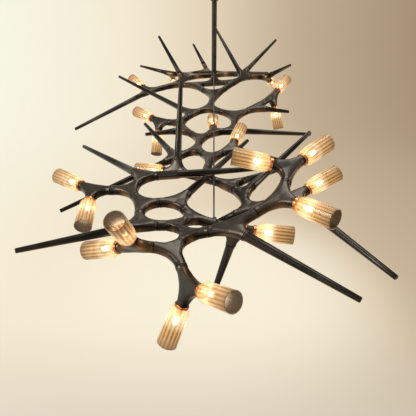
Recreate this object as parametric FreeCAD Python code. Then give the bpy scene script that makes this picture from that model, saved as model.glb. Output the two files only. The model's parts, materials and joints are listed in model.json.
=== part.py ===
import FreeCAD, Part
import math
import os

Vector = FreeCAD.Vector

# Long branching chandelier. Flat three-armed castings meet arm to arm in an open net that hangs from
# one pole. Free arms carry a tapered spike or a lamp: a copper ring, a socket, a bulb and a fluted glass.
# The frame's origin is on the ceiling at the pole's axis. The chandelier's length lies along Y.

# Driving dimensions, in millimetres
net_pitch = 100.0          # usual distance from the middle of one casting to the next
arm_diameter = 28.0        # arm of a casting, and the thickness of its web
free_arm_length = 46.0     # from the middle of a casting to the end of an arm with a spike or lamp
least_straight = 0.5       # shortest straight part at an arm's end, where it is longer than the next arm
same_length = 0.001        # arms whose lengths differ by less are taken as equal
arm_sides = 8              # flat sides of an arm's section
sweep_step_turn = 30       # most degrees that a concave side turns at each flat face

spike_root_diameter = 25.0
spike_tip_diameter = 12.5
spike_sides = 10

ring_diameter = 35.0
ring_height = 7.0
socket_diameter = 17.0
socket_height = 14.0
bulb_diameter = 13.0
bulb_straight_length = 30.0
bulb_tip_length = 7.0
bulb_tip_diameter = 4.4
lamp_inner_sides = 6       # flat sides of sockets and bulbs
glass_length = 100.0
glass_diameter = 50.0
glass_neck_diameter = 31.0
glass_shoulder_length = 12.0
glass_wall = 2.4
glass_flute_count = 11

pole_diameter = 25.0
pole_bore = 19.0
pole_seat_height = 403.0   # how far below the ceiling the pole ends
pole_neck_length = 12.0    # below the floor of the hanger cup, down to the pole's top
stay_diameter = 5.0
stay_clip_height = 16.0    # middle of the stay's upper clip, above the pole's end
stay_clip_width = 6.0
stay_sides = 6
stay_clip_sides = 10
stay_clip_wall = 3.5
stay_stub_diameter = 9.0
stay_stub_length = 8.0

rim_sides = 18             # flat sides of the plate, the cup, the canopy and the collar
bore_sides = 8             # flat sides of the bores for wires
ceiling_plate_diameter = 118.0
ceiling_plate_thickness = 5.0
ceiling_bolt_circle = 90.0
ceiling_bolt_hole = 6.5
ceiling_bolt_count = 4
first_bolt_share = 0.5     # of the angle between two bolts
cable_hole_diameter = 16.0
hanger_cup_diameter = 50.0
hanger_cup_height = 24.0
hanger_cup_wall = 6.0
head_flange_diameter = 36.0
head_flange_thickness = 8.0
canopy_diameter = 160.0
canopy_height = 46.0
canopy_wall = 2.0
canopy_rim_radius = 12.0
collar_diameter = 38.0
collar_height = 14.0
grub_sides = 6
grub_screw_diameter = 5.0
grub_screw_length = 6.0

running_gap = 0.3          # round the pole and its neck, where they turn or slide
seat_gap = 0.15            # inside the stay's clip on the pole, and round the grub screw
arm_clip_gap = 0.3         # inside the stay's clip on an arm, which swells towards its casting
cut_overrun = 2.0

# Places of the castings' middles, in net pitches from the pole's lower end. Where a casting joins three
# others, its height is worked out below, so that its three arms lie in one plane.
casting_place_shares = {
    "left_lamp_fork": (-3.72, -11.05, -2.37),
    "left_cross": (-2.58, -11.30, -2.32),
    "left_spike_fork": (-2.25, -10.60, -2.02),
    "rail_left": (-2.20, -12.00, -2.27),
    "rail_spike": (-1.15, -11.85, -2.12),
    "rail_centre": (-0.75, -12.55, -2.27),
    "cell_centre": (-1.10, -13.00, -2.27),
    "cell_left": (-2.10, -13.00, -2.35),
    "cell_front": (-0.80, -13.55, -2.27),
    "nose_cross": (-1.12, -13.95, -2.37),
    "nose_left_fork": (-2.05, -13.55, -2.12),
    "nose_tip_fork": (-0.88, -15.00, -2.82),
    "under_fork": (0.45, -12.65, -2.59),
    "cell_right": (0.30, -13.55, -2.22),
    "right_lamp_arm": (1.62, -13.15, -1.77),
    "right_lamp_fork": (1.80, -12.40, -1.02),
    "right_back_fork": (2.05, -11.85, -1.82),
    "back_right": (0.85, -11.78, -2.32),
    "back_centre": (0.86, -10.98, -2.69),
    "back_rail": (0.34, -10.48, -2.59),
    "waist_cross": (-0.45, -9.95, -2.42),
    "neck_low": (-0.20, -8.50, -2.12),
    "neck_lamp": (0.50, -7.80, -1.97),
    "neck_cross": (-0.75, -7.50, -1.97),
    "neck_left": (-1.52, -7.90, -1.87),
    "neck_left_fork": (-1.34, -9.57, -2.05),
    "neck_high": (-0.60, -6.50, -1.72),
    "crown_lamp": (-0.10, -5.90, -1.57),
    "crown_spike": (0.70, -5.75, -1.47),
    "neck_spike": (-1.30, -5.60, -1.47),
    "mid_left_cross": (-1.50, -4.80, -1.22),
    "mid_left_fork": (-2.45, -4.15, -1.57),
    "mid_left_spike": (-1.05, -4.00, -1.02),
    "mid_centre": (-0.30, -3.40, -0.97),
    "mid_front": (0.90, -4.30, -1.07),
    "mid_right_spike": (1.85, -3.65, -0.97),
    "mid_right_fork": (2.50, -2.40, -0.82),
    "mid_cross": (0.00, -1.85, -0.87),
    "hub_left": (-1.05, 0.00, -0.87),
    "hub_right": (1.05, 0.00, -0.87),
    "pole_foot": (0.00, 0.00, -0.44),
    "far_left": (-2.10, 0.35, -0.77),
    "far_left_fork": (-3.40, -0.55, -0.97),
    "right_high_spike": (1.52, 0.74, -0.32),
    "back_cross": (2.20, 1.25, -0.87),
    "far_right_fork": (2.90, 1.25, -0.57),
    "back_high_spike": (2.10, 2.40, -0.87),
    "left_high_spike": (-2.05, 1.60, -0.69),
    "rear_left": (-1.10, 2.70, -0.67),
    "rear_right": (0.80, 3.00, -0.57),
    "tail_left": (-1.60, 4.30, -0.67),
    "tail_cross": (-0.60, 5.40, -0.67),
    "tail_right": (0.70, 4.70, -0.57),
    "tail_left_fork": (-2.60, 4.90, -0.62),
    "tail_right_fork": (1.80, 5.30, -0.47),
    "tail_end_fork": (-0.70, 7.00, -0.62),
}

# Castings whose arms meet. Each pair shares one seam, halfway between their middles.
casting_pairs = [
    ("left_lamp_fork", "left_cross"),
    ("left_cross", "left_spike_fork"),
    ("left_cross", "rail_left"),
    ("rail_left", "rail_spike"),
    ("rail_left", "cell_left"),
    ("rail_spike", "rail_centre"),
    ("rail_centre", "cell_centre"),
    ("rail_centre", "under_fork"),
    ("cell_centre", "cell_front"),
    ("cell_centre", "cell_left"),
    ("cell_front", "nose_cross"),
    ("cell_front", "cell_right"),
    ("nose_cross", "nose_left_fork"),
    ("nose_cross", "nose_tip_fork"),
    ("cell_right", "right_lamp_arm"),
    ("right_lamp_arm", "right_lamp_fork"),
    ("right_back_fork", "back_right"),
    ("back_right", "back_centre"),
    ("back_centre", "back_rail"),
    ("back_rail", "waist_cross"),
    ("waist_cross", "neck_low"),
    ("neck_low", "neck_lamp"),
    ("neck_low", "neck_cross"),
    ("neck_cross", "neck_left"),
    ("waist_cross", "neck_left_fork"),
    ("neck_cross", "neck_high"),
    ("neck_high", "crown_lamp"),
    ("neck_high", "neck_spike"),
    ("crown_lamp", "crown_spike"),
    ("crown_spike", "mid_front"),
    ("neck_spike", "mid_left_cross"),
    ("mid_left_cross", "mid_left_fork"),
    ("mid_left_cross", "mid_left_spike"),
    ("mid_left_spike", "mid_centre"),
    ("mid_front", "mid_right_spike"),
    ("mid_front", "mid_centre"),
    ("mid_right_spike", "mid_right_fork"),
    ("mid_centre", "mid_cross"),
    ("mid_cross", "hub_left"),
    ("mid_cross", "hub_right"),
    ("hub_left", "pole_foot"),
    ("hub_right", "pole_foot"),
    ("hub_left", "far_left"),
    ("hub_right", "right_high_spike"),
    ("far_left", "far_left_fork"),
    ("far_left", "left_high_spike"),
    ("right_high_spike", "back_cross"),
    ("back_cross", "far_right_fork"),
    ("back_cross", "back_high_spike"),
    ("left_high_spike", "rear_left"),
    ("back_high_spike", "rear_right"),
    ("rear_left", "rear_right"),
    ("rear_left", "tail_left"),
    ("rear_right", "tail_right"),
    ("tail_left", "tail_cross"),
    ("tail_right", "tail_cross"),
    ("tail_left", "tail_left_fork"),
    ("tail_right", "tail_right_fork"),
    ("tail_cross", "tail_end_fork"),
]

# Each spike's casting, its tip, and the length of a plain sleeve between arm and spike, in net pitches
spike_tip_shares = [
    ("left_spike_fork", (-4.75, -8.15, -1.57), 0),
    ("left_spike_fork", (1.20, -10.90, -1.47), 0.6),
    ("rail_spike", (1.10, -8.10, -1.37), 0),
    ("cell_left", (-4.90, -14.05, -2.47), 0),
    ("under_fork", (-0.25, -13.30, -4.52), 0),
    ("cell_right", (2.75, -15.85, -2.57), 0),
    ("right_back_fork", (3.95, -14.75, -2.77), 0),
    ("back_centre", (3.05, -9.10, -0.82), 0),
    ("back_rail", (2.10, -9.60, -1.92), 0),
    ("neck_left", (-5.24, -10.02, -3.26), 0),
    ("neck_left", (-2.89, -5.66, -1.32), 0),
    ("back_right", (-0.59, -12.12, -2.93), 0),
    ("neck_left_fork", (-1.21, -8.26, 0.70), 0),
    ("neck_lamp", (2.62, -8.40, -2.10), 0),
    ("crown_spike", (3.85, -6.00, -1.67), 0),
    ("neck_spike", (-2.85, -6.00, -1.67), 0),
    ("mid_left_spike", (-4.85, -0.40, -0.07), 0),
    ("mid_right_spike", (3.35, -3.65, -1.22), 0),
    ("far_left_fork", (-6.15, -4.45, -1.82), 0),
    ("left_high_spike", (-2.99, 1.90, 1.78), 0),
    ("right_high_spike", (0.10, 2.24, 2.16), 0),
    ("far_right_fork", (4.00, 0.30, 0.43), 0),
    ("back_high_spike", (3.58, 3.06, 1.55), 0),
    ("tail_left_fork", (-4.60, 5.20, -0.07), 0),
    ("tail_end_fork", (-1.30, 7.25, 1.13), 0),
    ("tail_right_fork", (3.50, 5.00, -0.47), 0),
]

# Where the mouth of each lamp's glass points, in net pitches
lamp_mouth_shares = [
    ("left_lamp_fork", (-5.00, -10.30, -1.92)),
    ("left_lamp_fork", (-3.70, -12.50, -2.52)),
    ("nose_left_fork", (-3.28, -13.39, -2.82)),
    ("nose_left_fork", (-2.25, -14.80, -1.37)),
    ("nose_tip_fork", (0.20, -16.05, -2.47)),
    ("nose_tip_fork", (-1.35, -15.20, -4.52)),
    ("under_fork", (0.97, -12.79, -2.60)),
    ("right_lamp_arm", (2.25, -14.15, -1.45)),
    ("right_lamp_fork", (0.30, -12.25, -0.67)),
    ("right_lamp_fork", (2.95, -11.55, -0.52)),
    ("right_back_fork", (3.45, -11.25, -1.47)),
    ("neck_left_fork", (-2.66, -9.05, -2.15)),
    ("neck_lamp", (1.00, -6.45, -1.27)),
    ("crown_lamp", (-0.10, -4.40, -1.37)),
    ("mid_left_fork", (-3.75, -3.10, -1.27)),
    ("mid_left_fork", (-2.51, -4.56, -2.06)),
    ("mid_right_fork", (3.70, -1.30, 0.08)),
    ("mid_right_fork", (2.95, -2.90, -1.77)),
    ("far_left_fork", (-4.57, 0.66, -0.16)),
    ("far_right_fork", (3.70, 2.60, -0.97)),
    ("tail_left_fork", (-2.60, 6.50, -1.37)),
    ("tail_right_fork", (1.90, 6.50, -0.77)),
    ("tail_end_fork", (0.20, 8.10, -1.27)),
]

# Nodes of the castings that share one file, each with its castings
casting_groups = {
    "neck_castings": [
        "neck_low", "neck_lamp", "neck_cross", "neck_left", "neck_left_fork", "neck_high", "neck_spike",
    ],
    "crown_castings": ["crown_lamp", "crown_spike", "mid_front", "mid_centre", "mid_cross"],
    "middle_left_castings": ["mid_left_cross", "mid_left_fork", "mid_left_spike", "hub_left", "far_left"],
    "middle_right_castings": ["mid_right_spike", "mid_right_fork", "hub_right", "right_high_spike"],
    "rear_castings": [
        "far_left_fork", "back_cross", "far_right_fork", "back_high_spike", "left_high_spike",
        "rear_left", "rear_right",
    ],
    "tail_castings": [
        "tail_left", "tail_cross", "tail_right", "tail_left_fork", "tail_right_fork", "tail_end_fork",
    ],
}

# Castings beside the seam that the stay's lower clip is on
stay_castings = ("rail_centre", "under_fork")

# Stretches of the chandelier that spikes and lamps are filed by, each with where it ends, in net pitches
region_end_shares = {"front": -10, "neck": -5, "middle": 0, "rear": 10}

up = Vector(0, 0, 1)
along_x = Vector(1, 0, 0)
arm_radius = arm_diameter / 2
settling_passes = 300


def neighbours_of(name):
    first = [b for a, b in casting_pairs if a == name]
    second = [a for a, b in casting_pairs if b == name]
    return first + second


def unit(vector):
    return vector / vector.Length


def point_of(share):
    """A point given in net pitches from the pole's lower end."""
    return Vector(*share) * net_pitch - up * pole_seat_height


def free_aims(name):
    """Free arms of a casting: what each one carries, and the point that it heads for."""
    aims = []
    for owner, tip, sleeve in spike_tip_shares:
        if owner == name:
            kind = "sleeved" if sleeve else "spike"
            aims.append((kind, point_of(tip)))
    for owner, mouth in lamp_mouth_shares:
        if owner == name:
            aims.append(("lamp", point_of(mouth)))
    if name == "pole_foot":
        aims.append(("pole", Vector(0, 0, 0)))
    return aims


def settled_places():
    """Castings' middles in millimetres, each moved into the plane of the three points it faces.

    Those are its neighbours' middles and what its free arms head for. A casting with three neighbours
    only moves up or down.
    """
    places = {}
    for name, share in casting_place_shares.items():
        places[name] = point_of(share)
    for _ in range(settling_passes):
        for name, here in places.items():
            around = neighbours_of(name)
            corners = [places[other] for other in around] + [aim for _, aim in free_aims(name)]
            normal = unit((corners[1] - corners[0]).cross(corners[2] - corners[0]))
            off = (here - corners[0]).dot(normal)
            if len(around) == 3:
                here.z -= off / normal.z
            else:
                chosen = point_of(casting_place_shares[name])
                places[name] = chosen - normal * (chosen - corners[0]).dot(normal)
    return places


places = settled_places()


def casting_arms(name):
    """Arms of one casting as (kind, unit direction, length, aim), all in one plane, and its normal."""
    middle = places[name]
    linked = [places[other] - middle for other in neighbours_of(name)]
    aims = free_aims(name)
    arms = [("seam", unit(link), link.Length / 2, None) for link in linked]
    for kind, aim in aims:
        length = free_arm_length
        if kind == "pole":
            length = -pole_seat_height - middle.z
        arms.append((kind, unit(aim - middle), length, aim))
    normal = unit(arms[0][1].cross(arms[1][1]))
    return arms, normal


def closed_solid(outlines):
    """A solid whose flat faces are given by their corners."""
    faces = []
    for corners in outlines:
        faces.append(Part.Face(Part.makePolygon(corners + corners[:1])))
    return Part.makeSolid(Part.makeShell(faces))


def side_points(middle, normal, arm, following, half_width):
    """The concave side from one arm's end to the next arm's end, this far from the arms' axes."""
    along, along_next = arm[1], following[1]
    side = normal.cross(along)
    side_next = along_next.cross(normal)
    half_angle = along.getAngle(along_next) / 2
    reach = min(arm[2], following[2])
    if same_length < abs(arm[2] - following[2]) < least_straight:
        reach -= least_straight
    bisector = unit(along + along_next)
    centre = middle + bisector * (reach / math.cos(half_angle))
    sweep_radius = reach * math.tan(half_angle) - half_width
    first_turn = math.pi / 2 - half_angle
    steps = max(1, math.ceil(2 * math.degrees(first_turn) / sweep_step_turn))
    points = []
    for step in range(steps + 1):
        turn = first_turn * (1 - 2 * step / steps)
        inward = bisector * math.cos(turn) + unit(along - along_next) * -math.sin(turn)
        points.append(centre - inward * sweep_radius)
    if arm[2] < reach + same_length:
        points = points[1:]
    if following[2] < reach + same_length:
        points = points[:-1]
    start = middle + along * arm[2] + side * half_width
    end = middle + along_next * following[2] + side_next * half_width
    return [start] + points + [end]


def casting_solid(name):
    """A flat web with three arms: concave sides between the arms, and long edges that are cut back."""
    middle = places[name]
    arms, normal = casting_arms(name)
    first = arms[0][1]

    def turn(arm):
        direction = arm[1]
        return math.atan2(first.cross(direction).dot(normal), first.dot(direction)) % (2 * math.pi)

    arms = sorted(arms, key=turn)
    narrow = arm_radius * math.tan(math.pi / arm_sides)
    levels = []
    for height, half_width in [
        (arm_radius, narrow), (narrow, arm_radius), (-narrow, arm_radius), (-arm_radius, narrow),
    ]:
        sides = []
        for index, arm in enumerate(arms):
            points = side_points(middle, normal, arm, arms[(index + 1) % len(arms)], half_width)
            sides.append([point + normal * height for point in points])
        levels.append(sides)
    outlines = [sum(levels[0], []), sum(levels[-1], [])]
    for index in range(len(arms)):
        for upper, lower in zip(levels, levels[1:]):
            here, below = upper[index], lower[index]
            for corner in range(len(here) - 1):
                outlines.append([here[corner], here[corner + 1], below[corner + 1], below[corner]])
        starts = [sides[index][0] for sides in levels]
        ends = [sides[index - 1][-1] for sides in levels]
        outlines.append(starts + ends[::-1])
    return closed_solid(outlines)


def along_direction(shape, base, direction):
    """A copy of a shape made along +Z, set on a base point and turned along a direction."""
    copy = shape.copy()
    copy.Placement = FreeCAD.Placement(base, FreeCAD.Rotation(up, direction))
    return copy


def ring_of_points(count, radius, height):
    points = []
    for index in range(count):
        angle = 2 * math.pi * index / count
        points.append(Vector(radius * math.cos(angle), radius * math.sin(angle), height))
    return points


def many_sided(count, stations):
    """A closed solid through rings of flat sides, given as (radius, height)."""
    rings = [ring_of_points(count, radius, height) for radius, height in stations]
    outlines = [rings[0], rings[-1]]
    for lower, upper in zip(rings, rings[1:]):
        for side in range(count):
            after = (side + 1) % count
            outlines.append([lower[side], lower[after], upper[after], upper[side]])
    return closed_solid(outlines)


def lamp_glass():
    neck = glass_neck_diameter / 2
    body = glass_diameter / 2
    outer = many_sided(glass_flute_count, [(neck, 0), (body, glass_shoulder_length), (body, glass_length)])
    inner = many_sided(
        glass_flute_count,
        [
            (neck - glass_wall, 0),
            (body - glass_wall, glass_shoulder_length + glass_wall / 2),
            (body - glass_wall, glass_length),
        ],
    )
    return outer.cut(inner)


def lamp_bulb():
    radius = bulb_diameter / 2
    tip_height = bulb_straight_length + bulb_tip_length
    stations = [(radius, 0), (radius, bulb_straight_length), (bulb_tip_diameter / 2, tip_height)]
    return many_sided(lamp_inner_sides, stations)


def disc(sides, diameter, height):
    return many_sided(sides, [(diameter / 2, 0), (diameter / 2, height)])


# Pieces of a lamp, each with how far it stands off the arm's end
lamp_pieces = {
    "rings": (disc(glass_flute_count, ring_diameter, ring_height), 0),
    "sockets": (disc(lamp_inner_sides, socket_diameter, socket_height), ring_height),
    "bulbs": (lamp_bulb(), ring_height + socket_height),
    "glasses": (lamp_glass(), ring_height),
}


def save(node, shapes):
    shape = shapes[0] if len(shapes) == 1 else Part.makeCompound(shapes)
    shape.exportStep(os.path.join("parts", node + ".step"))


def region_of(name):
    """The stretch of the chandelier that a casting's spikes and lamps are filed with."""
    for region, end_share in region_end_shares.items():
        if places[name].y < end_share * net_pitch:
            return region
    return region


def rod(diameter, top, bottom):
    return Part.makeCylinder(diameter / 2, top - bottom, Vector(0, 0, bottom))


def bar(sides, diameter, top, bottom):
    return many_sided(sides, [(diameter / 2, bottom), (diameter / 2, top)])


def ceiling_plate():
    below = -ceiling_plate_thickness - cut_overrun
    plate = bar(rim_sides, ceiling_plate_diameter, 0, -ceiling_plate_thickness)
    plate = plate.cut(bar(bore_sides, cable_hole_diameter, cut_overrun, below))
    for index in range(ceiling_bolt_count):
        angle = 2 * math.pi * (index + first_bolt_share) / ceiling_bolt_count
        hole = rod(ceiling_bolt_hole, cut_overrun, below)
        hole.translate(Vector(math.cos(angle), math.sin(angle), 0) * (ceiling_bolt_circle / 2))
        plate = plate.cut(hole)
    return plate


def hanger_cup():
    top = -ceiling_plate_thickness
    bottom = top - hanger_cup_height
    hollow = hanger_cup_diameter - 2 * hanger_cup_wall
    cup = bar(rim_sides, hanger_cup_diameter, top, bottom)
    cup = cup.cut(bar(rim_sides, hollow, top + cut_overrun, bottom + hanger_cup_wall))
    return cup.cut(rod(pole_diameter + 2 * running_gap, top, bottom - cut_overrun))


def pole_head():
    seat = -ceiling_plate_thickness - hanger_cup_height + hanger_cup_wall
    flange_top, neck_end = seat + head_flange_thickness, seat - pole_neck_length
    flange = bar(rim_sides, head_flange_diameter, flange_top, seat)
    head = flange.fuse(rod(pole_diameter, seat, neck_end))
    wire_way = bar(bore_sides, cable_hole_diameter, flange_top + cut_overrun, neck_end - cut_overrun)
    return head.cut(wire_way).removeSplitter()


def pole():
    top = -ceiling_plate_thickness - hanger_cup_height + hanger_cup_wall - pole_neck_length
    wire_way = bar(bore_sides, pole_bore, top + cut_overrun, -pole_seat_height - cut_overrun)
    return rod(pole_diameter, top, -pole_seat_height).cut(wire_way)


def canopy():
    """A bowl with a rounded rim, open at the ceiling, with a running hole for the pole."""
    outer = canopy_diameter / 2
    flat = outer - canopy_rim_radius
    floor = -canopy_height
    corner = canopy_rim_radius * math.cos(math.pi / 4)
    outside = [
        (flat, floor),
        (flat + corner, floor + canopy_rim_radius - corner),
        (outer, floor + canopy_rim_radius),
        (outer, -running_gap),
    ]
    inside = [
        (flat, floor + canopy_wall),
        (outer - canopy_wall, floor + canopy_rim_radius),
        (outer - canopy_wall, cut_overrun),
    ]
    bowl = many_sided(rim_sides, outside).cut(many_sided(rim_sides, inside))
    return bowl.cut(rod(pole_diameter + 2 * running_gap, 0, floor - cut_overrun))


def canopy_collar():
    top = -canopy_height
    collar = bar(rim_sides, collar_diameter, top, top - collar_height)
    collar = collar.cut(
        rod(pole_diameter + 2 * running_gap, top + cut_overrun, top - collar_height - cut_overrun)
    )
    return collar.cut(grub_prism(grub_screw_diameter + 2 * seat_gap, 0, collar_diameter))


def grub_screw():
    return grub_prism(grub_screw_diameter, pole_diameter / 2 + running_gap, grub_screw_length)


def grub_prism(diameter, start, length):
    """A many-sided bar along X, at the height of the collar's middle."""
    base = Vector(start, 0, -canopy_height - collar_height / 2)
    return along_direction(disc(grub_sides, diameter, length), base, along_x)


def stay_clip(place, axis, bore, along):
    """A ring round an arm or the pole, with a stub that the stay's end butts on."""
    outer = bore + stay_clip_wall
    corner_bore = bore / math.cos(math.pi / stay_clip_sides)
    base = place - axis * (stay_clip_width / 2)
    ring = along_direction(disc(stay_clip_sides, 2 * outer, stay_clip_width), base, axis)
    stub_length = outer + stay_stub_length
    stub = along_direction(disc(stay_sides, stay_stub_diameter, stub_length), place, along)
    hole_length = 2 * outer
    hole = disc(stay_clip_sides, 2 * corner_bore, hole_length)
    hole = along_direction(hole, place - axis * (hole_length / 2), axis)
    return ring.fuse(stub).cut(hole).removeSplitter()


def stay_pieces():
    """The stay rod, its clip on the pole and its clip on the seam between two front castings."""
    first, second = [places[name] for name in stay_castings]
    low = (first + second) / 2
    high = up * (stay_clip_height - pole_seat_height)
    along = unit(low - high)
    high_bore = pole_diameter / 2 + seat_gap
    low_bore = arm_radius / math.cos(math.pi / arm_sides) + arm_clip_gap
    high_clip = stay_clip(high, up, high_bore, along)
    low_clip = stay_clip(low, unit(second - first), low_bore, along * -1)
    start = high_bore + stay_clip_wall + stay_stub_length
    finish = low_bore + stay_clip_wall + stay_stub_length
    length = (low - high).Length - start - finish
    stay = along_direction(disc(stay_sides, stay_diameter, length), high + along * start, along)
    return {"stay_rod": stay, "stay_pole_clip": high_clip, "stay_arm_clip": low_clip}


def free_arm_pieces(name):
    """What a casting's free arms carry, as (file name ending, shape)."""
    pieces = []
    sleeves = [sleeve for owner, tip, sleeve in spike_tip_shares if owner == name and sleeve]
    for kind, direction, length, aim in casting_arms(name)[0]:
        end = places[name] + direction * length
        if kind == "sleeved":
            sleeve_length = sleeves[0] * net_pitch
            sleeve = disc(arm_sides, arm_diameter, sleeve_length)
            pieces.append(("sleeve", along_direction(sleeve, end, direction)))
            end = end + direction * sleeve_length
        if kind in ("spike", "sleeved"):
            spike = many_sided(
                spike_sides, [(spike_root_diameter / 2, 0), (spike_tip_diameter / 2, (aim - end).Length)]
            )
            pieces.append(("spikes", along_direction(spike, end, direction)))
        if kind == "lamp":
            for piece, (shape, lift) in lamp_pieces.items():
                placed = along_direction(shape, end + direction * lift, direction)
                pieces.append(("lamp_" + piece, placed))
    return pieces


def build():
    os.makedirs("parts", exist_ok=True)
    grouped = [name for names in casting_groups.values() for name in names]
    for name in places:
        if name not in grouped:
            save(name + "_casting", [casting_solid(name)])
    for node, names in casting_groups.items():
        save(node, [casting_solid(name) for name in names])
    filed = {}
    for name in places:
        for ending, shape in free_arm_pieces(name):
            filed.setdefault(region_of(name) + "_" + ending, []).append(shape)
    for node, shapes in filed.items():
        save(node, shapes)
    for node, shape in stay_pieces().items():
        save(node, [shape])
    save("ceiling_plate", [ceiling_plate()])
    save("hanger_cup", [hanger_cup()])
    save("pole_head", [pole_head()])
    save("pole", [pole()])
    save("canopy", [canopy()])
    save("canopy_collar", [canopy_collar()])
    save("grub_screw", [grub_screw()])


build()
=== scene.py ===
import json
import math

import bpy
import bmesh
from mathutils import Matrix, Vector


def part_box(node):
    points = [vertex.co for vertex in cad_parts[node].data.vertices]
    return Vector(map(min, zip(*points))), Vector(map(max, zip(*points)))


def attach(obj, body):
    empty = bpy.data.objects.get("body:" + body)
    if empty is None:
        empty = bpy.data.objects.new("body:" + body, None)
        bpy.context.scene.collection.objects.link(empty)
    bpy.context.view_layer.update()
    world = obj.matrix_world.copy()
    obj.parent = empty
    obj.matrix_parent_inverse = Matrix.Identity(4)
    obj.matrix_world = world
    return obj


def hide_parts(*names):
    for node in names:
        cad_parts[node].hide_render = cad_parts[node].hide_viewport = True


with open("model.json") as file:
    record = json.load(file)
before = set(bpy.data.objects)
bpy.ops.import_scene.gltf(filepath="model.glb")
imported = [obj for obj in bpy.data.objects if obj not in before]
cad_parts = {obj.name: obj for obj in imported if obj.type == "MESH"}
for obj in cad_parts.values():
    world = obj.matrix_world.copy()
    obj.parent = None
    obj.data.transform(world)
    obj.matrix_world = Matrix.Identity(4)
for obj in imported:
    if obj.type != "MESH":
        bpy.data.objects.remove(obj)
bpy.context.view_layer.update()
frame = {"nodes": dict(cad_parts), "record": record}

# Castings, in metres: three round arms that flatten into a web
arm_radius = 0.0142
arm_straight_end = 0.003
web_thinning = 0.07        # share of the half thickness that a web loses at its middle
web_squareness = 3.2       # added to the power of 2 of a round section, at the middle of a web
groove_depth_share = 0.07
collar_share = 0.035
end_steps = (              # distances from an arm's end, each with a share of its radius
    (0, 1 - groove_depth_share),
    (0.0005, 1 - groove_depth_share / 3),
    (0.0012, 1 + collar_share),
    (0.0050, 1 + collar_share),
    (0.0062, 1),
)
arm_path_steps = 9
section_steps = 14

# How flat ends of the CAD nodes are told apart and matched, in metres
casting_end_radius = 0.014 / math.cos(math.pi / 8)
spike_tip_limit = 0.01
least_corners = 8
least_arm = 0.01
round_tolerance = 0.0001
line_tolerance = 0.0003
place_tolerance = 0.001
parallel_limit = 0.999

# Spikes and the sleeve
spike_sides = 40
spike_collar = 0.0007
spike_collar_length = 0.006
tube_bevel = 0.0006

# Lamps
lamp_regions = ("front", "neck", "middle", "rear")
ring_sides = 64
ring_radius = 0.0172
ring_waist_radius = 0.0163
ring_height = 0.007
socket_sides = 32
socket_radius = 0.0083
socket_waist_radius = 0.0076
socket_rim_radius = 0.0081
socket_top_radius = 0.0075
socket_height = 0.014
bulb_sides = 24
bulb_radius = 0.0062
bulb_length = 0.0365
bulb_dome_stretch = 1.3
bulb_dome_steps = 8
glass_sides = 96
glass_length = 0.1
glass_radius = 0.0247
glass_neck_radius = 0.0152
glass_shoulder_length = 0.012
glass_shoulder_steps = 8
glass_wall = 0.0022
glass_least_bore = 0.01
glass_lip = 0.001
flute_count = 16
flute_depth = 0.0007
flute_start = 0.004
flute_run_in = 0.012
flute_run_out = 0.006
flute_lip_share = 0.25

# Parts above the pole
turned_sides = 96
pole_hole_radius = 0.0128
wire_hole_radius = 0.008
bolt_count = 4
bolt_circle_radius = 0.045
bolt_hole_radius = 0.00325
bolt_drill_reach = 0.01
cup_wall = 0.006
head_neck_radius = 0.0125
head_flange_height = 0.008
canopy_wall = 0.002
canopy_bend = 0.012
canopy_bend_steps = 10
grub_sides = 24
grub_clearance = 0.00015
grub_drill_start = 0.002
grub_drill_length = 0.012
drill_sides = 48
edge_bevel = 0.0006
crease_angle = math.radians(38)

# Camera: its place, and the lens of the photo on a frame 36 mm wide
camera_place = Vector((-0.031, -2.277, -0.150))
camera_dip = math.radians(24)
camera_lens = 36.35
camera_frame = 36
camera_sight = 200

# Backdrop: a floor, a sweep and a wall, all round the chandelier
backdrop_sides = 128
floor_height = -2.3
sweep_start = 6.5
sweep_bend = 2.6
sweep_steps = 12
backdrop_top = 5.0
backdrop_glow = 0.9
pool_ahead = 0.9
pool_reach = 3.3           # square of the radius at which the painted pool of light on the floor ends
front_fade = (-0.9, 0.5)   # where the floor's grey front fades, from and to, along the camera's way
front_rise = 1.0           # height over the floor at which that grey ends

# Lights: name, place, target, size, watts and colour, and the plain air round them
softboxes = (
    ("top_softbox", (0.2, -0.2, 2.2), (0, -0.8, -0.5), (1.6, 2.6), 48, (1.0, 0.98, 0.93)),
    ("key_softbox", (-2.4, -2.2, 1.2), (0, -0.8, -0.5), (0.9, 1.8), 55, (1.0, 0.97, 0.92)),
    ("fill_softbox", (2.8, -0.6, 0.6), (0, -0.6, -0.5), (0.8, 1.8), 24, (1.0, 0.90, 0.78)),
)
air_colour = (0.80, 0.72, 0.60)
air_strength = 0.62

# Colours of the finishes, as shares of light
# Castings: the side colours are painted shade and the top colours painted light, on one bronze
cast_shaded_side_black = (0.006, 0.0042, 0.0031)
cast_shaded_side_brown = (0.022, 0.0146, 0.0102)
cast_lit_top_dark = (0.050, 0.045, 0.040)
cast_lit_top_pale = (0.070, 0.060, 0.051)
# Colour of the painted warm reflection on the castings
cast_painted_reflection = (0.58, 0.310, 0.135)
tube_dark = (0.012, 0.0104, 0.0092)
tube_pale = (0.040, 0.035, 0.031)
# Colour of the painted warm reflection on the tubes' undersides
tube_painted_reflection = (0.42, 0.220, 0.095)
copper_bright = (0.84, 0.36, 0.13)
copper_stained = (0.42, 0.13, 0.045)
ceramic_cream = (0.80, 0.74, 0.64)
ceramic_speck = (0.62, 0.55, 0.45)
bulb_frost = (0.95, 0.85, 0.70)
bulb_dim = (0.07, 0.034, 0.012)
bulb_hot = (1.0, 0.74, 0.40)
glass_amber = (0.80, 0.54, 0.27)
glass_smoke = (0.50, 0.30, 0.135)
glass_edge = (0.20, 0.115, 0.050)
glass_lip_brown = (0.08, 0.045, 0.022)
# Lit colour and painted-shade colour of the glasses' inner wall
inside_lit_amber = (0.52, 0.30, 0.12)
inside_painted_shade = (0.075, 0.034, 0.011)
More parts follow.
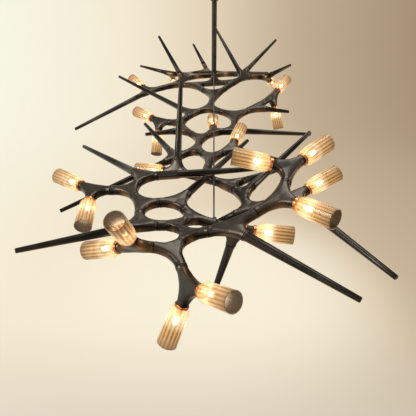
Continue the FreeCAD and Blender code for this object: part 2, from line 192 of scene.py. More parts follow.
# Colours of the painted glow that the bulbs throw onto the glasses
glow_dim = (0.040, 0.019, 0.006)
glow_amber = (0.78, 0.43, 0.150)
glow_hot = (1.0, 0.80, 0.48)
glow_edge = (0.030, 0.015, 0.005)
no_light = (0.0, 0.0, 0.0)
lacquer_dark = (0.022, 0.019, 0.017)
lacquer_pale = (0.042, 0.034, 0.028)
stay_dark = (0.024, 0.022, 0.020)
stay_pale = (0.045, 0.040, 0.036)
screw_dark = (0.30, 0.29, 0.28)
screw_pale = (0.45, 0.43, 0.40)


class Socket:
    """An output of a material's nodes that can stand in sums with numbers and other outputs."""

    def __init__(self, finish, output):
        self.finish = finish
        self.output = output

    def sibling(self, output):
        """Another output of the same node."""
        return Socket(self.finish, self.output.node.outputs[output])

    def sum_with(self, operation, first, second):
        return self.finish.node("ShaderNodeMath", {"operation": operation}, {0: first, 1: second})

    def __add__(self, other):
        return self.sum_with("ADD", self, other)

    def __radd__(self, other):
        return self.sum_with("ADD", other, self)

    def __sub__(self, other):
        return self.sum_with("SUBTRACT", self, other)

    def __rsub__(self, other):
        return self.sum_with("SUBTRACT", other, self)

    def __mul__(self, other):
        return self.sum_with("MULTIPLY", self, other)

    def __rmul__(self, other):
        return self.sum_with("MULTIPLY", other, self)

    def __abs__(self):
        return self.finish.node("ShaderNodeMath", {"operation": "ABSOLUTE"}, {0: self})

    def greater(self, other):
        """The greater of two."""
        return self.sum_with("MAXIMUM", self, other)


class Finish:
    """A material whose nodes are all made by one method."""

    def __init__(self, name):
        self.material = bpy.data.materials.new(name)
        self.material.use_nodes = True
        self.tree = self.material.node_tree
        self.tree.nodes.clear()

    def node(self, kind, settings=None, inputs=None, output=0):
        made = self.tree.nodes.new(kind)
        for key, value in (settings or {}).items():
            if key == "stops":
                for index, (place, colour) in enumerate(value):
                    if index > 1:
                        made.color_ramp.elements.new(place)
                    element = made.color_ramp.elements[index]
                    element.position = place
                    element.color = (*colour, 1)
            else:
                setattr(made, key, value)
        for key, value in (inputs or {}).items():
            if isinstance(value, Socket):
                self.tree.links.new(value.output, made.inputs[key])
            else:
                made.inputs[key].default_value = value
        return Socket(self, made.outputs[output]) if made.outputs else None

    def noise(self, place, scale, detail=4.0, roughness=0.55):
        return self.node(
            "ShaderNodeTexNoise", None,
            {"Vector": place, "Scale": scale, "Detail": detail, "Roughness": roughness},
        )

    def blend(self, share, first, second):
        """A colour between two, each plain or from another node."""
        first, second = [(*c, 1) if isinstance(c, tuple) else c for c in (first, second)]
        return self.node(
            "ShaderNodeMix", {"data_type": "RGBA"}, {0: share, 6: first, 7: second}, output=2
        )

    def ramp(self, value, low, high):
        """0 below low, 1 above high, and a smooth step between."""
        return self.node(
            "ShaderNodeMapRange", {"interpolation_type": "SMOOTHSTEP"},
            {"Value": value, "From Min": low, "From Max": high},
        )

    def place(self):
        """The point's place in its piece."""
        return self.node("ShaderNodeTexCoord", output=3)

    def facing(self):
        """The way that the surface faces."""
        return self.node("ShaderNodeTexCoord", output=1)

    def note(self, name):
        """A number that each point of the mesh carries."""
        return self.node("ShaderNodeAttribute", {"attribute_name": name}, output=2)

    def grain(self, stretch):
        """The point's place in its own turned piece, stretched along three axes."""
        local = self.node("ShaderNodeAttribute", {"attribute_name": "grain"}, output=1)
        return self.node(
            "ShaderNodeVectorMath", {"operation": "MULTIPLY"}, {0: local, 1: Vector(stretch)}
        )

    def bump(self, height, strength, distance):
        return self.node(
            "ShaderNodeBump", None, {"Height": height, "Strength": strength, "Distance": distance}
        )

    def close(self, shader):
        self.node("ShaderNodeOutputMaterial", None, {"Surface": shader})
        return self.material


def cast_bronze():
    """Satin dark bronze on castings, with painted light and shade: charcoal on tops that face up,
    near black on the sides below them, and a painted warm reflection in streaks, most on undersides
    and web rims.
    """
    finish = Finish("cast_bronze")
    here = finish.place()
    over = finish.note("over")
    rim = finish.note("rim")
    cloud = finish.ramp(finish.noise(here, 12.0, 2.0), 0.35, 0.70)
    fine = finish.noise(here, 420.0, 5.0, 0.6)
    streak = finish.ramp(finish.noise(here, 11.0, 2.0) + rim * 0.25, 0.42, 0.90)
    # Painted light and shade: faces turned up get the lighter top colour, the rest the near black
    # side colour
    top = finish.ramp(over, 0.35, 0.95)
    below = 1 - finish.ramp(over, -0.75, 0.25)
    shaded_side_colour = finish.blend(cloud, cast_shaded_side_black, cast_shaded_side_brown)
    lit_top_colour = finish.blend(cloud, cast_lit_top_dark, cast_lit_top_pale)
    # Painted warm reflection: random streaks on the sides, stronger on undersides and web rims,
    # none on tops
    painted_warm_reflection = streak * (0.20 + below * (0.18 + rim * 0.50)) * (1 - top)
    shader = finish.node(
        "ShaderNodeBsdfPrincipled", None,
        {
            "Base Color": finish.blend(
                painted_warm_reflection, finish.blend(top, shaded_side_colour, lit_top_colour), cast_painted_reflection
            ),
            "Metallic": 0.9,
            "Roughness": 0.24 + fine * 0.08 + cloud * 0.06,
            "Coat Weight": 0.08,
            "Coat Roughness": 0.20,
            "Normal": finish.bump(fine, 0.03, 0.0005),
        },
    )
    return finish.close(shader)


def tube_bronze():
    """The same dark bronze on drawn tubes, with streaks along them and a painted warm reflection on
    their undersides.
    """
    finish = Finish("tube_bronze")
    streaks = finish.noise(finish.grain((110.0, 110.0, 4.0)), 1.0, 2.0)
    cloud = finish.ramp(finish.noise(finish.place(), 9.0, 2.0), 0.35, 0.70)
    facing_up = finish.node("ShaderNodeSeparateXYZ", None, {0: finish.facing()}, output=2)
    # Painted warm reflection on the undersides, varied by the cloud
    painted_warm_reflection = (1 - finish.ramp(facing_up, -0.85, 0.10)) * (0.12 + cloud * 0.38)
    shader = finish.node(
        "ShaderNodeBsdfPrincipled", None,
        {
            "Base Color": finish.blend(
                painted_warm_reflection, finish.blend(cloud, tube_dark, tube_pale), tube_painted_reflection
            ),
            "Metallic": 0.9,
            "Roughness": 0.22 + streaks * 0.08,
            "Coat Weight": 0.08,
            "Coat Roughness": 0.18,
            "Normal": finish.bump(streaks, 0.01, 0.0004),
        },
    )
    return finish.close(shader)


def polished_copper():
    """Bright rings with stains and fine turning marks."""
    finish = Finish("polished_copper")
    stain = finish.ramp(finish.noise(finish.place(), 120.0), 0.4, 0.75)
    turning = finish.noise(finish.grain((30.0, 30.0, 2600.0)), 1.0, 2.0)
    shader = finish.node(
        "ShaderNodeBsdfPrincipled", None,
        {
            "Base Color": finish.blend(stain, copper_bright, copper_stained),
            "Metallic": 1.0,
            "Roughness": 0.10 + stain * 0.12,
            "Normal": finish.bump(turning, 0.10, 0.0005),
        },
    )
    return finish.close(shader)


def glazed_ceramic():
    """Cream glaze with specks, on the sockets inside the glasses."""
    finish = Finish("glazed_ceramic")
    speck = finish.ramp(finish.noise(finish.place(), 400.0), 0.55, 0.75)
    shader = finish.node(
        "ShaderNodeBsdfPrincipled", None,
        {
            "Base Color": finish.blend(speck, ceramic_cream, ceramic_speck),
            "Roughness": 0.25 + speck * 0.2,
            "Coat Weight": 0.6,
            "Coat Roughness": 0.1,
        },
    )
    return finish.close(shader)


def lit_bulb():
    """Capsule with its hot part round the middle of its length."""
    finish = Finish("lit_bulb")
    core = 1 - finish.ramp(abs(finish.note("along") - 0.52), 0.0, 0.36)
    shader = finish.node(
        "ShaderNodeBsdfPrincipled", None,
        {
            "Base Color": (*bulb_frost, 1),
            "Roughness": 0.35,
            "Emission Color": finish.blend(core, bulb_dim, bulb_hot),
            "Emission Strength": 8.0,
        },
    )
    return finish.close(shader)


def smoked_glass():
    """Fluted smoked-gold glass with a painted glow of its bulb's light round the bulb. Its inner
    wall darkens to the mouth in painted shade.
    """
    finish = Finish("smoked_glass")
    along = finish.note("along")
    flute = finish.note("ribs")
    inner = finish.note("inner")
    smoke = finish.ramp(along, 0.30, 0.95)
    # Painted shade: the inner wall darkens towards the mouth, in colour and in cover
    painted_mouth_shade = finish.ramp(along, 0.22, 0.74)
    lip = finish.ramp(along, 0.95, 0.995)
    # Painted glow: the bulb's light painted onto the glass as emission, strongest round the bulb
    # and in the flutes
    off = abs(along - 0.36)
    core = 1 - finish.ramp(off, 0.0, 0.20)
    halo = 1 - finish.ramp(off, 0.04, 0.80)
    haze = finish.noise(finish.place(), 90.0)
    grazing = finish.node("ShaderNodeLayerWeight", None, {"Blend": 0.5}, output=1)
    edge = finish.ramp(grazing, 0.45, 0.95) * (1 - inner)
    outside = finish.blend(smoke, glass_amber, glass_smoke)
    outside = finish.blend(edge * 0.75, outside, glass_edge)
    outside = finish.blend(lip * 0.8, outside, glass_lip_brown)
    inside = finish.blend(painted_mouth_shade, inside_lit_amber, inside_painted_shade)
    glow = finish.blend(halo * (0.22 + flute * 0.78), glow_dim, glow_amber)
    glow = finish.blend(core * 0.88, glow, glow_hot)
    glow = finish.blend(edge * 0.65, glow, glow_edge)
    shader = finish.node(
        "ShaderNodeBsdfPrincipled", None,
        {
            "Base Color": finish.blend(inner, outside, inside),
            "Roughness": 0.10 + haze * 0.06 + inner * 0.40,
            "IOR": 1.42,
            "Alpha": (
                (0.18 + flute * 0.16 + smoke * 0.24 + lip * 0.20) * (1 - inner)
                + edge * 0.20 + inner * (0.08 + painted_mouth_shade * 0.82)
            ),
            "Emission Color": finish.blend(inner, glow, no_light),
            "Emission Strength": 2.0,
            "Coat Weight": 0.35 - inner * 0.35,
            "Coat Roughness": 0.12,
        },
    )
    return finish.close(shader)


def lacquered_steel(name, dark, pale, roughness):
    """Cloudy lacquer over steel, with a fine grain."""
    finish = Finish(name)
    here = finish.place()
    cloud = finish.ramp(finish.noise(here, 30.0), 0.35, 0.7)
    fine = finish.noise(here, 500.0, 3.0)
    shader = finish.node(
        "ShaderNodeBsdfPrincipled", None,
        {
            "Base Color": finish.blend(cloud, dark, pale),
            "Metallic": 0.7,
            "Roughness": roughness + fine * 0.15,
            "Coat Weight": 0.3,
            "Coat Roughness": 0.2,
            "Normal": finish.bump(fine, 0.06, 0.0006),
        },
    )
    return finish.close(shader)


def mesh_of(name, points, faces):
    mesh = bpy.data.meshes.new(name)
    mesh.from_pydata(points, [], faces)
    return mesh


def placed(name, data):
    """An object in the scene that holds a mesh, a light or a camera."""
    made = bpy.data.objects.new(name, data)
    bpy.context.scene.collection.objects.link(made)
    return made


def smooth(mesh):
    """Smooth shading that keeps creases."""
    mesh.shade_smooth()
    mesh.set_sharp_from_angle(angle=crease_angle)


def discs(node):
    """Flat round ends of a CAD node, as (centre, outward direction, radius).

    An end is a group of faces that share corners, every corner equally far from its centre.
    """
    mesh = frame["nodes"][node].data
    leader = list(range(len(mesh.vertices)))

    def lead(corner):
        while leader[corner] != corner:
            leader[corner] = leader[leader[corner]]
            corner = leader[corner]
        return corner

    for face in mesh.polygons:
        for corner in face.vertices:
            leader[lead(corner)] = lead(face.vertices[0])
    islands = {}
    for face in mesh.polygons:
        islands.setdefault(lead(face.vertices[0]), []).append(face)
    found = []
    for faces in islands.values():
        numbers = {number for face in faces for number in face.vertices}
        corners = [mesh.vertices[number].co for number in numbers]
        centre = sum(corners, Vector()) / len(corners)
        spans = [(corner - centre).length for corner in corners]
        if len(corners) >= least_corners and max(spans) - min(spans) < round_tolerance:
            found.append((centre, faces[0].normal.copy(), max(spans)))
    return found


def meeting_point(first, second):
    """Where the lines of two ends meet behind both of them, or nothing."""
    apart = first[0] - second[0]
    lean = first[1].dot(second[1])
    if abs(lean) > parallel_limit:
        return None
    along_first = apart.dot(first[1])
    along_second = apart.dot(second[1])
    spread = 1 - lean * lean
    back_first = (along_first - lean * along_second) / spread
    back_second = (lean * along_first - along_second) / spread
    if back_first < least_arm or back_second < least_arm:
        return None
    here = first[0] - first[1] * back_first
    there = second[0] - second[1] * back_second
    if (here - there).length > line_tolerance:
        return None
    return (here + there) / 2


def castings_of(node):
    """Castings of a CAD node, as (middle, [(direction, length), three times])."""
    ends = [end for end in discs(node) if abs(end[2] - casting_end_radius) < line_tolerance]
    groups = []
    for first in range(len(ends)):
        for second in range(first + 1, len(ends)):
            point = meeting_point(ends[first], ends[second])
            if point is None:
                continue
            for middle, members in groups:
                if (middle - point).length < place_tolerance:
                    members.update({first, second})
                    break
            else:
                groups.append((point, {first, second}))
    return [
        (middle, [(ends[i][1], (ends[i][0] - middle).length) for i in sorted(members)])
        for middle, members in groups
        if len(members) == 3
    ]


class Piece:
    """Points, faces and notes of one shown piece, gathered from several bodies."""

    def __init__(self):
        self.points = []
        self.faces = []
        self.notes = {}

    def add(self, points, faces, **notes):
        start = len(self.points)
        self.points += points
        self.faces += [[start + corner for corner in face] for face in faces]
        for name, values in notes.items():
            self.notes.setdefault(name, []).extend(values)

    def show(self, name, material, slot, node):
        """Makes the piece, on the body of the CAD node that it replaces."""
        mesh = mesh_of(name, self.points, self.faces)
        for note, values in self.notes.items():
            if isinstance(values[0], Vector):
                layer = mesh.attributes.new(note, "FLOAT_VECTOR", "POINT")
                layer.data.foreach_set("vector", [part for value in values for part in value])
            else:
                layer = mesh.attributes.new(note, "FLOAT", "POINT")
                layer.data.foreach_set("value", values)
        solid = bmesh.new()
        solid.from_mesh(mesh)
        bmesh.ops.recalc_face_normals(solid, faces=solid.faces)
        solid.to_mesh(mesh)
        solid.free()
        smooth(mesh)
        mesh.materials.append(material)
        made = placed(name, mesh)
        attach(made, body_of_node[node])
        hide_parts(node)
        return made


def welded(points, faces, *notes):
    """The same faces with points at one place made one, and each note's values to match."""
    places = {}
    index_of = []
    kept = []
    for number, point in enumerate(points):
        key = tuple(round(part * 1e6) for part in point)
        if key not in places:
            places[key] = len(kept)
            kept.append(number)
        index_of.append(places[key])
    new_faces = []
    for face in faces:
        corners = list(dict.fromkeys(index_of[corner] for corner in face))
        if len(corners) > 2:
            new_faces.append(corners)
    kept_notes = [[note[number] for number in kept] for note in notes]
    return [points[number] for number in kept], new_faces, *kept_notes


def signed_power(value, power):
    """A value's size raised to a power, with the value's sign."""
    return math.copysign(abs(value) ** power, value) if abs(value) > 1e-9 else 0


def half_sections(middle, normal, arm, other, side):
    """Half sections along an arm, from its end to the middle, on the side of another arm.

    Each point comes with its nearness to the rim of a web, and with how far it faces up.
    """
    direction, length = arm
    half_angle = direction.angle(other[0]) / 2
    reach = min(length, other[1]) - arm_straight_end
    sweep = reach * math.tan(half_angle) - arm_radius
    centre = middle + direction * reach + side * (arm_radius + sweep)
    inner = length - end_steps[-1][0]
    shares = [step / arm_path_steps for step in range(1, arm_path_steps + 1)]
    steps = [*end_steps, *((length - inner * (1 - share), 1) for share in shares)]
    sections = []
    for from_end, swell in steps:
        out = length - from_end
        spine = middle + direction * out
        if out >= reach:
            flat = 0
            edge = side * arm_radius
        else:
            flat = 1 - out / reach
            angle = (math.pi / 2 - half_angle) * flat
            edge = centre - (side * math.cos(angle) + direction * math.sin(angle)) * sweep - spine
        power = 2 / (2 + web_squareness * flat)
        height = arm_radius * (1 - web_thinning * flat * flat)
        section = []
        for step in range(section_steps + 1):
            tilt = math.pi * (0.5 - step / section_steps)
            level, rise = max(math.cos(tilt), 0), math.sin(tilt)
            lift = normal * height * signed_power(rise, power)
            section.append((spine + (edge * level ** power + lift) * swell, flat * level, rise))
        sections.append(section)
    return sections


def cast_body(middle, arms):
    """One three-armed casting with concave sides, as points, faces and the notes rim and over."""
    normal = arms[0][0].cross(arms[1][0]).normalized()
    if normal.z < 0:
        normal = -normal
    first = arms[0][0]

    def turn(arm):
        return math.atan2(first.cross(arm[0]).dot(normal), first.dot(arm[0])) % math.tau

    arms = sorted(arms, key=turn)
    points, faces, rims, overs = [], [], [], []
    width = section_steps + 1
    for index, arm in enumerate(arms):
        following = arms[(index + 1) % len(arms)]
        side, side_back = normal.cross(arm[0]), following[0].cross(normal)
        strip = half_sections(middle, normal, arm, following, side)
        strip += reversed(half_sections(middle, normal, following, arm, side_back)[:-1])
        start = len(points)
        for section in strip:
            for point, rim, over in section:
                points.append(point)
                rims.append(rim)
                overs.append(over)
        for row in range(len(strip) - 1):
            for column in range(section_steps):
                corner = start + row * width + column
                faces.append([corner, corner + 1, corner + width + 1, corner + width])
        last = start + (len(strip) - 1) * width
        for row_start, owner in ((start, arm), (last, following)):
            hub = len(points)
            points.append(middle + owner[0] * owner[1])
            rims.append(0)
            overs.append(0)
            for column in range(section_steps):
                faces.append([row_start + column, row_start + column + 1, hub])
    return welded(points, faces, rims, overs)


def turned(profile, sides, closed=False, flute=None):
    """A profile of (radius, height) turned about Z. A radius of 0 closes an end."""
    points, rings = [], []
    for radius, height in profile:
        if radius == 0:
            rings.append([len(points)] * sides)
            points.append(Vector((0, 0, height)))
            continue
        rings.append(list(range(len(points), len(points) + sides)))
        for side in range(sides):
            angle = math.tau * side / sides
            here = radius - (flute(angle, height) if flute else 0)
            points.append(Vector((here * math.cos(angle), here * math.sin(angle), height)))
    pairs = list(zip(rings, rings[1:]))
    if closed:
        pairs.append((rings[-1], rings[0]))
    faces = []
    for lower, upper in pairs:
        for side in range(sides):
            after = (side + 1) % sides
            corners = list(dict.fromkeys((lower[side], lower[after], upper[after], upper[side])))
            if len(corners) > 2:
                faces.append(corners)
    return points, faces


def stand(base, direction):
    """Turns the Z axis to a direction and moves the origin to a point."""
    return Matrix.Translation(base) @ direction.to_track_quat("Z", "Y").to_matrix().to_4x4()


def add_turned(piece, stance, profile, sides, closed=False, flute=None, **notes):
    """Adds a turned body, with its grain and a note for each rule that is named."""
    points, faces = turned(profile, sides, closed, flute)
    values = {name: [rule(point) for point in points] for name, rule in notes.items()}
    piece.add([stance @ point for point in points], faces, grain=points, **values)


def rounded(start, corner, end, radius, steps):
    """Points of a soft bend in place of a corner of a profile."""
    here = [Vector(point) for point in (start, corner, end)]
    first = here[1] + (here[0] - here[1]).normalized() * radius
    last = here[1] + (here[2] - here[1]).normalized() * radius
    bend = []
    for step in range(steps + 1):
        done = step / steps
        left = 1 - done
        bend.append(tuple(first * left ** 2 + here[1] * 2 * done * left + last * done * done))
    return bend


def spike_profile(root, tip, length):
    """A low collar at the root, a straight taper, and a tip with a rim and a sunk face."""
    def radius(height):
        return root - (root - tip) / length * height

    return [
        (0, 0),
        (root + spike_collar - tube_bevel, 0),
        (root + spike_collar, tube_bevel),
        (root + spike_collar, spike_collar_length - tube_bevel),
        (radius(spike_collar_length), spike_collar_length + tube_bevel),
        (radius(length / 3), length / 3),
        (radius(length * 2 / 3), length * 2 / 3),
        (tip + tube_bevel / 2, length - 3 * tube_bevel),
        (tip, length - tube_bevel),
        (tip - tube_bevel, length),
        (tip - 2 * tube_bevel, length),
        (tip - 2.5 * tube_bevel, length - tube_bevel),
        (0, length - tube_bevel),
    ]


def sleeve_profile(radius, length):
    return [
        (0, 0), (radius - tube_bevel, 0), (radius, tube_bevel), (radius, length - tube_bevel),
        (radius - tube_bevel, length), (0, length),
    ]


def ring_profile():
    """A copper ring with a groove round its waist."""
    wide, thin = ring_radius, ring_waist_radius
    return [
        (0, 0), (thin, 0), (wide, 0.0006), (wide, 0.0022), (thin, 0.0027), (thin, 0.0033),
        (wide, 0.0038), (wide, ring_height - 0.0008), (thin, ring_height), (0, ring_height),
    ]


def socket_profile():
    """A ceramic socket with a foot, a waist and a rim."""
    foot, waist, rim = socket_radius, socket_waist_radius, socket_rim_radius
    return [
        (0, 0), (foot, 0), (foot, 0.003), (waist, 0.0038), (waist, 0.0105), (rim, 0.0112),
        (rim, socket_height - 0.0006), (socket_top_radius, socket_height), (0, socket_height),
    ]


def bulb_profile():
    """A short clear neck, then a capsule with a rounded tip."""
    profile = [(0, 0), (bulb_radius * 0.72, 0), (bulb_radius * 0.75, 0.002), (bulb_radius, 0.005)]
    dome_height = bulb_radius * bulb_dome_stretch
    straight = bulb_length - dome_height
    for step in range(bulb_dome_steps):
        angle = math.pi / 2 * step / bulb_dome_steps
        profile.append((bulb_radius * math.cos(angle), straight + dome_height * math.sin(angle)))
    profile.append((0, bulb_length))
    return profile


def glass_profile():
    """The outer wall up to the lip, and the inner wall back down."""
    neck, body, shoulder = glass_neck_radius, glass_radius, glass_shoulder_length
    corner = (body, shoulder * 0.30)
    outer = [(neck, 0)]
    outer += rounded((neck, 0), corner, (body, glass_length), shoulder, glass_shoulder_steps)
    outer += [(body, glass_length * share) for share in (0.3, 0.45, 0.6, 0.75, 0.9)]
    lip = [
        (body, glass_length - glass_lip),
        (body - glass_wall / 2, glass_length),
        (body - glass_wall, glass_length - glass_lip),
    ]
    inner = [
        (max(radius - glass_wall, glass_least_bore), height + glass_wall / 2)
        for radius, height in reversed(outer[1:])
    ]
    return outer + lip + inner + [(neck - glass_wall, 0)]


def held(value, low, high):
    return min(max(value, low), high)


def flute_at(angle):
    """0 on a ridge between two flutes and 1 at a flute's deepest line."""
    return 0.5 - 0.5 * math.cos(angle * flute_count)


def glass_flute(angle, height):
    """Depth of the flutes, which run in at the shoulder and out at the lip."""
    run_in = held((height - flute_start) / flute_run_in, 0, 1)
    run_out = held((glass_length - glass_lip - height) / flute_run_out, flute_lip_share, 1)
    return flute_depth * flute_at(angle) * run_in * run_out


def is_inside_glass(point):
    """Whether a point of a glass is on its inner wall."""
    above_shoulder = point.z > glass_shoulder_length * 1.5
    outer = glass_radius - flute_depth if above_shoulder else glass_neck_radius
    return math.hypot(point.x, point.y) < outer - glass_wall / 3


def quarter_bend(across, height, radius):
    """Points of a bend from level to upright about a centre."""
    turns = [math.pi / 2 * step / canopy_bend_steps for step in range(canopy_bend_steps + 1)]
    return [(across + radius * math.sin(turn), height - radius * math.cos(turn)) for turn in turns]


def washer(outer, inner, low, high):
    """A closed profile of a ring with its outer edges bevelled."""
    return [
        (inner, low), (outer - edge_bevel, low), (outer, low + edge_bevel),
        (outer, high - edge_bevel), (outer - edge_bevel, high), (inner, high),
    ]


def plate_profile(outer, low, high):
    return washer(outer, wire_hole_radius, low, high)


def collar_profile(outer, low, high):
    return washer(outer, pole_hole_radius, low, high)


def cup_profile(outer, low, high):
    """A cup that is open at its top, with the pole's hole in its floor."""
    hollow, floor = outer - cup_wall, low + cup_wall
    bore = [(hollow, floor), (pole_hole_radius, floor), (pole_hole_radius, low)]
    return washer(outer, hollow, low, high) + bore


def head_profile(outer, low, high):
    """A hollow neck under a flange that turns in the cup."""
    seat = high - head_flange_height
    return [
        (wire_hole_radius, low), (head_neck_radius, low), (head_neck_radius, seat),
        (outer - edge_bevel, seat), (outer, seat + edge_bevel), (outer, high - edge_bevel),
        (outer - edge_bevel, high), (wire_hole_radius, high),
    ]


def canopy_profile(outer, low, high):
    """A thin round bowl, open at its top, with a bent lower edge."""
    across, height = outer - canopy_bend, low + canopy_bend
    outside = quarter_bend(across, height, canopy_bend)
    inside = quarter_bend(across, height, canopy_bend - canopy_wall)
    lip = [(outer, high - edge_bevel), (outer - edge_bevel, high), (outer - canopy_wall, high)]
    return [
        (pole_hole_radius, low), *outside, *lip, *reversed(inside),
        (pole_hole_radius, low + canopy_wall),
    ]


def grub_profile(radius, length):
    """A headless screw with a round socket in its outer end."""
    socket = radius / 2
    return [
        (0, 0), (radius - edge_bevel, 0), (radius, edge_bevel), (radius, length - edge_bevel),
        (radius - edge_bevel, length), (socket, length), (socket, length / 2), (0, length / 2),
    ]


def bored(made, holes):
    """Cuts round holes, each (start, direction, radius, length), through a piece."""
    drills = Piece()
    for start, direction, radius, length in holes:
        profile = [(0, 0), (radius, 0), (radius, length), (0, length)]
        add_turned(drills, stand(start, direction), profile, drill_sides)
    mesh = mesh_of("drill", drills.points, drills.faces)
    drill = placed("drill", mesh)
    cut = made.modifiers.new("holes", "BOOLEAN")
    cut.operation = "DIFFERENCE"
    cut.object = drill
    cut.solver = "EXACT"
    graph = bpy.context.evaluated_depsgraph_get()
    made.data = bpy.data.meshes.new_from_object(made.evaluated_get(graph))
    made.modifiers.clear()
    smooth(made.data)
    bpy.data.objects.remove(drill)
    bpy.data.meshes.remove(mesh)


def add_castings(finish):
    """Shows the castings, and returns the ends of all their arms."""
    arm_ends = []
    for name in nodes:
        if not name.endswith(("_casting", "_castings")):
            continue
        piece = Piece()
        for middle, arms in castings_of(name):
            points, faces, rims, overs = cast_body(middle, arms)
            piece.add(points, faces, rim=rims, over=overs)
            arm_ends += [middle + direction * length for direction, length in arms]
        piece.show(name + "_cast", finish, "bronze_casting", name)
    return arm_ends


def add_spikes(finish):
    """Shows a taper from each root disc to the tip disc that lies straight ahead of it."""
    for name in nodes:
        if not name.endswith("_spikes"):
            continue
        piece = Piece()
        ends = discs(name)
        tips = [end for end in ends if end[2] < spike_tip_limit]
        for centre, outward, radius in ends:
            if radius < spike_tip_limit:
                continue

            def off_line(tip):
                reach = tip[0] - centre
                return (reach + outward * reach.length).length

            tip = min(tips, key=off_line)
            profile = spike_profile(radius, tip[2], (tip[0] - centre).length)
            add_turned(piece, stand(centre, -outward), profile, spike_sides)
        piece.show(name + "_tapered", finish, "bronze_tube", name)


def add_sleeve(finish):
    piece = Piece()
    (start, outward, _), (end, _, _) = discs("front_sleeve")[:2]
    profile = sleeve_profile(arm_radius, (end - start).length)
    add_turned(piece, stand(start, -outward), profile, spike_sides)
    piece.show("front_sleeve_tube", finish, "bronze_casting", "front_sleeve")


def add_lamps(arm_ends, copper, ceramic, bulb_finish, glass_finish):
    """Shows a ring, a socket, a bulb and a glass wherever a ring's disc is on an arm's end."""
    for region in lamp_regions:
        rings, sockets, bulbs, glasses = Piece(), Piece(), Piece(), Piece()
        for centre, outward, _ in discs(region + "_lamp_rings"):
            if min((centre - end).length for end in arm_ends) > place_tolerance:
                continue
            direction = -outward
            socket_base = centre + direction * ring_height
            bulb_base = socket_base + direction * socket_height
            add_turned(rings, stand(centre, direction), ring_profile(), ring_sides)
            add_turned(sockets, stand(socket_base, direction), socket_profile(), socket_sides)
            add_turned(
                bulbs, stand(bulb_base, direction), bulb_profile(), bulb_sides,
                along=lambda point: point.z / bulb_length,
            )
            add_turned(
                glasses, stand(socket_base, direction), glass_profile(), glass_sides,
                closed=True, flute=glass_flute,
                along=lambda point: point.z / glass_length,
                ribs=lambda point: flute_at(math.atan2(point.y, point.x)),
                inner=lambda point: float(is_inside_glass(point)),
            )
        rings.show(region + "_copper_rings", copper, "copper", region + "_lamp_rings")
        sockets.show(
            region + "_ceramic_sockets", ceramic, "socket_ceramic", region + "_lamp_sockets"
        )
        bulbs.show(region + "_capsule_bulbs", bulb_finish, "bulb_glass", region + "_lamp_bulbs")
        glasses.show(
            region + "_fluted_glasses", glass_finish, "smoked_glass", region + "_lamp_glasses"
        )


def add_hanging_parts(finish, screw_finish):
    """Shows the parts above the pole, turned smooth inside their CAD boxes."""
    made = {}
    for node, name, profile_of in (
        ("ceiling_plate", "ceiling_plate_drilled", plate_profile),
        ("hanger_cup", "hanger_cup_turned", cup_profile),
        ("pole_head", "pole_head_turned", head_profile),
        ("canopy", "canopy_bowl", canopy_profile),
        ("canopy_collar", "canopy_collar_ring", collar_profile),
    ):
        low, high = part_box(node)
        piece = Piece()
        profile = profile_of(high[0], low[2], high[2])
        add_turned(piece, Matrix(), profile, turned_sides, closed=True)
        made[node] = piece.show(name, finish, "bronze_paint", node)

    holes = []
    for index in range(bolt_count):
        angle = math.tau * (index + 0.5) / bolt_count
        across, ahead = bolt_circle_radius * math.cos(angle), bolt_circle_radius * math.sin(angle)
        start = Vector((across, ahead, -bolt_drill_reach))
        holes.append((start, Vector((0, 0, 1)), bolt_hole_radius, 2 * bolt_drill_reach))
    bored(made["ceiling_plate"], holes)

    low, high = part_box("grub_screw")
    across = Vector((1, 0, 0))
    start = Vector((low[0], 0, (low[2] + high[2]) / 2))
    radius = (high[2] - low[2]) / 2
    drill_start = start - across * grub_drill_start
    hole = (drill_start, across, radius + grub_clearance, grub_drill_length)
    bored(made["canopy_collar"], [hole])
    piece = Piece()
    profile = grub_profile(radius, high[0] - low[0])
    add_turned(piece, stand(start, across), profile, grub_sides)
    piece.show("grub_screw_socketed", screw_finish, "screw_steel", "grub_screw")


def shown(red, green, blue):
    """A colour given as it shows on a screen, from 0 to 255."""
    return tuple((part / 255) ** 2.2 for part in (red, green, blue))


def backdrop_finish():
    """Creamy at the left and tan at the right, with a painted pool of light on the floor and a grey
    front.
    """
    finish = Finish("studio_backdrop")
    across = finish.node("ShaderNodeSeparateXYZ", None, {0: finish.place()})
    ahead, up = across.sibling(1), across.sibling(2)
    stops = [
        (0.0, shown(255, 255, 238)),
        (0.30, shown(250, 240, 217)),
        (0.50, shown(232, 216, 188)),
        (0.70, shown(198, 178, 151)),
        (1.0, shown(164, 143, 118)),
    ]
    wall = finish.node("ShaderNodeValToRGB", {"stops": stops}, {0: across * 0.1 + 0.5})
    # Painted pool of light on the floor, centred ahead of the chandelier
    past_pool = ahead - pool_ahead
    painted_light_pool = 1 - finish.ramp(across * across + past_pool * past_pool, 0.0, pool_reach)
    on_floor = 1 - finish.ramp(up, floor_height, floor_height + front_rise)
    front = (1 - finish.ramp(ahead, *front_fade)) * on_floor
    colour = finish.blend(painted_light_pool * 0.85, wall, shown(255, 247, 225))
    colour = finish.blend(front * 0.50, colour, shown(205, 199, 191))
    diffuse = finish.node("ShaderNodeBsdfDiffuse", None, {"Color": colour})
    glow = finish.node("ShaderNodeEmission", None, {"Color": colour, "Strength": 1.0})
    rays = finish.node("ShaderNodeLightPath")
    seen = rays.sibling("Is Camera Ray")
    for kind in ("Is Glossy Ray", "Is Transmission Ray"):
        seen = seen.greater(rays.sibling(kind))
    mixed = finish.node("ShaderNodeMixShader", None, {0: seen * backdrop_glow, 1: diffuse, 2: glow})
    return finish.close(mixed)


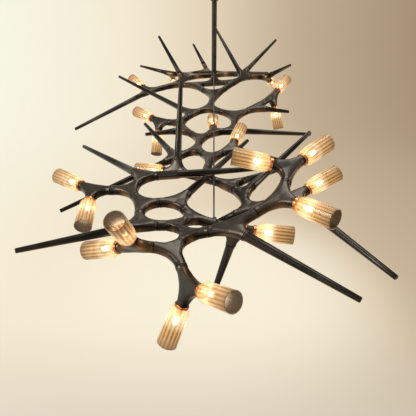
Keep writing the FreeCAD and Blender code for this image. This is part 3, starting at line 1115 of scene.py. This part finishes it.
def add_backdrop():
    """A pale floor that sweeps up into a round wall."""
    profile = [(0, floor_height)]
    for step in range(sweep_steps + 1):
        angle = math.pi / 2 * step / sweep_steps
        radius = sweep_start + sweep_bend * math.sin(angle)
        profile.append((radius, floor_height + sweep_bend * (1 - math.cos(angle))))
    profile.append((sweep_start + sweep_bend, backdrop_top))
    mesh = mesh_of("studio_backdrop", *turned(profile, backdrop_sides))
    mesh.shade_smooth()
    mesh.materials.append(backdrop_finish())
    backdrop = placed("studio_backdrop", mesh)


def add_air():
    world = bpy.data.worlds.new("studio_air")
    bpy.context.scene.world = world
    world.use_nodes = True
    back = world.node_tree.nodes["Background"]
    back.inputs["Color"].default_value = (*air_colour, 1)
    back.inputs["Strength"].default_value = air_strength


def add_softbox(name, place, target, size, watts, colour):
    lamp = bpy.data.lights.new(name, "AREA")
    lamp.shape = "RECTANGLE"
    lamp.size, lamp.size_y = size
    lamp.energy = watts
    lamp.color = colour
    made = placed(name, lamp)
    made.location = place
    made.rotation_euler = (Vector(target) - Vector(place)).to_track_quat("-Z", "Y").to_euler()


def add_camera():
    data = bpy.data.cameras.new("photo_view")
    data.sensor_width = camera_frame
    data.lens = camera_lens
    data.clip_end = camera_sight
    camera = placed("photo_view", data)
    camera.location = camera_place
    camera.rotation_euler = (math.pi / 2 - camera_dip, 0, 0)
    bpy.context.scene.camera = camera


nodes = sorted(frame["nodes"])
body_of_node = {}
for body, members in frame["record"]["behaviour"]["bodies"].items():
    for member in members:
        body_of_node[member] = body

# The chandelier
bronze = cast_bronze()
drawn_bronze = tube_bronze()
lacquer = lacquered_steel("bronze_lacquer", lacquer_dark, lacquer_pale, 0.26)
stay_steel = lacquered_steel("stay_steel", stay_dark, stay_pale, 0.30)
screw_steel = lacquered_steel("screw_steel", screw_dark, screw_pale, 0.25)
arm_ends = add_castings(bronze)
add_spikes(drawn_bronze)
add_sleeve(drawn_bronze)
add_lamps(arm_ends, polished_copper(), glazed_ceramic(), lit_bulb(), smoked_glass())
add_hanging_parts(lacquer, screw_steel)

# CAD pieces that keep their shape get a finish
for name, finish in {
    "pole": lacquer,
    "stay_rod": stay_steel,
    "stay_pole_clip": stay_steel,
    "stay_arm_clip": stay_steel,
}.items():
    for slot in frame["nodes"][name].material_slots:
        slot.material = finish

# The studio
add_backdrop()
add_air()
for softbox in softboxes:
    add_softbox(*softbox)
add_camera()
bpy.context.scene.view_settings.view_transform = "Standard"
